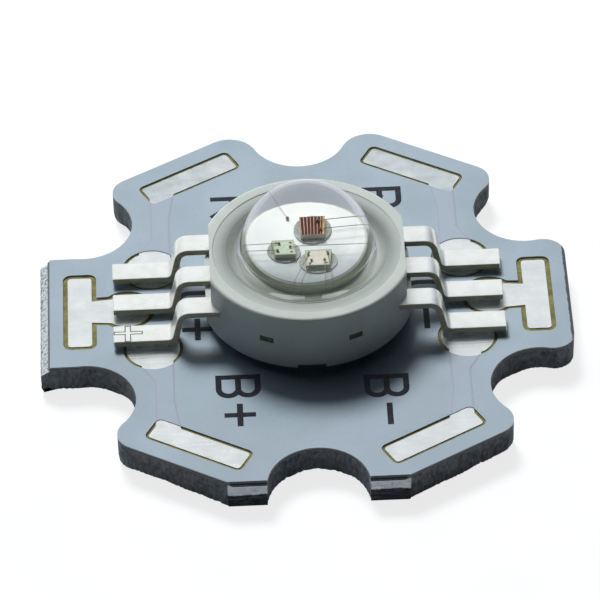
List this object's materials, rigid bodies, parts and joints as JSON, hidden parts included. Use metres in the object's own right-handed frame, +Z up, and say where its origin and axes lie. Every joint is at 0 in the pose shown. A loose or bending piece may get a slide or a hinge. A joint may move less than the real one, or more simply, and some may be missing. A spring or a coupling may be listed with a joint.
{
  "type": "star pcb power led",
  "caption": "Multi-colour power LED with a clear domed lens and gull-wing leads, soldered to a star-shaped aluminium-core circuit board with half-round screw notches.",
  "frame": {"origin": "middle of the board's underside", "axes": "+X along the leads towards the negative side, +Y towards the red row, +Z up through the dome"},
  "size_m": [0.0199, 0.0194, 0.0066],
  "materials": {
    "aluminium_base": "punched and scored edges, satin underside",
    "dielectric": "filled epoxy, dull olive",
    "solder_mask": "pale blue-grey ink, satin",
    "tinned_copper": "tinned, finely brushed",
    "solder": "dull reflowed solder",
    "silvered_copper": "silver plated, bright",
    "housing_plastic": "greenish-white moulded, satin",
    "cut_frame": "bare cut copper alloy",
    "tinned_lead": "bright tin over copper alloy",
    "silver_paste": "cured silver-filled paste",
    "red_die": "dark red with a gold contact pattern",
    "green_die": "pale green, semi-clear",
    "blue_die": "pale, semi-clear",
    "gold_wire": "drawn gold",
    "clear_silicone": "clear gel",
    "clear_lens": "clear moulded, polished"
  },
  "bodies": {
    "root": {"base_plate": "aluminium_base", "dielectric_layer": "dielectric", "solder_mask": "solder_mask", "thermal_pad": "tinned_copper", "red_plus_track": "tinned_copper", "red_minus_track": "tinned_copper", "green_plus_track": "tinned_copper", "green_minus_track": "tinned_copper", "blue_plus_track": "tinned_copper", "blue_minus_track": "tinned_copper", "red_plus_solder": "solder", "red_minus_solder": "solder", "green_plus_solder": "solder", "green_minus_solder": "solder", "blue_plus_solder": "solder", "blue_minus_solder": "solder", "slug_solder": "solder", "heat_slug": "silvered_copper", "housing": "housing_plastic", "tie_bar_ends": "cut_frame", "red_plus_lead": "tinned_lead", "red_minus_lead": "tinned_lead", "green_plus_lead": "tinned_lead", "green_minus_lead": "tinned_lead", "blue_plus_lead": "tinned_lead", "blue_minus_lead": "tinned_lead", "red_paste": "silver_paste", "green_paste": "silver_paste", "blue_paste": "silver_paste", "red_die": "red_die", "green_die": "green_die", "blue_die": "blue_die", "red_wires": "gold_wire", "green_wires": "gold_wire", "blue_wires": "gold_wire", "silicone_gel": "clear_silicone", "lens": "clear_lens"}
  },
  "joints": []
}
